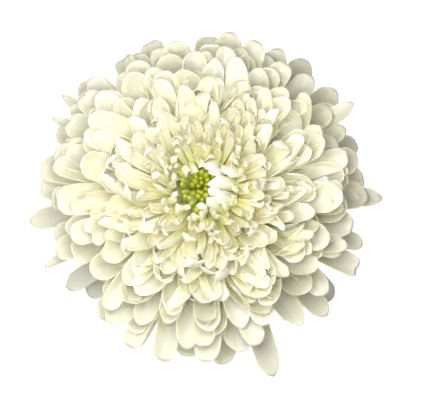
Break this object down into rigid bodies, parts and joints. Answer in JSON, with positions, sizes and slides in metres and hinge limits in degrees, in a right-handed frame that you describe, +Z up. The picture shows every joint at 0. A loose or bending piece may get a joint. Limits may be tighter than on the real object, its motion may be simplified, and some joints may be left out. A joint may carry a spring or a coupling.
{
  "type": "cremon chrysanthemum flower head",
  "caption": "Cut head of a white cremon chrysanthemum, face up on a short stub of stem: a dome of overlapping cupped petals round a small green heart.",
  "frame": {"origin": "middle of the stem stub's flat cut end, on the surface that the head rests on", "axes": "+Z up the stem and out of the bloom's face; the bloom is round, and +Y is the top of the picture's view"},
  "size_m": [0.1153, 0.1111, 0.0495],
  "materials": {
    "petals": "matt, waxy and faintly see-through, cream to white",
    "heart": "waxy yellow-green",
    "bracts": "matt leaf green",
    "stem": "ribbed, slightly downy green"
  },
  "bodies": {
    "root": {"ray_florets": "petals", "disc_florets": "heart", "involucre": "bracts", "stem": "stem"}
  },
  "joints": []
}
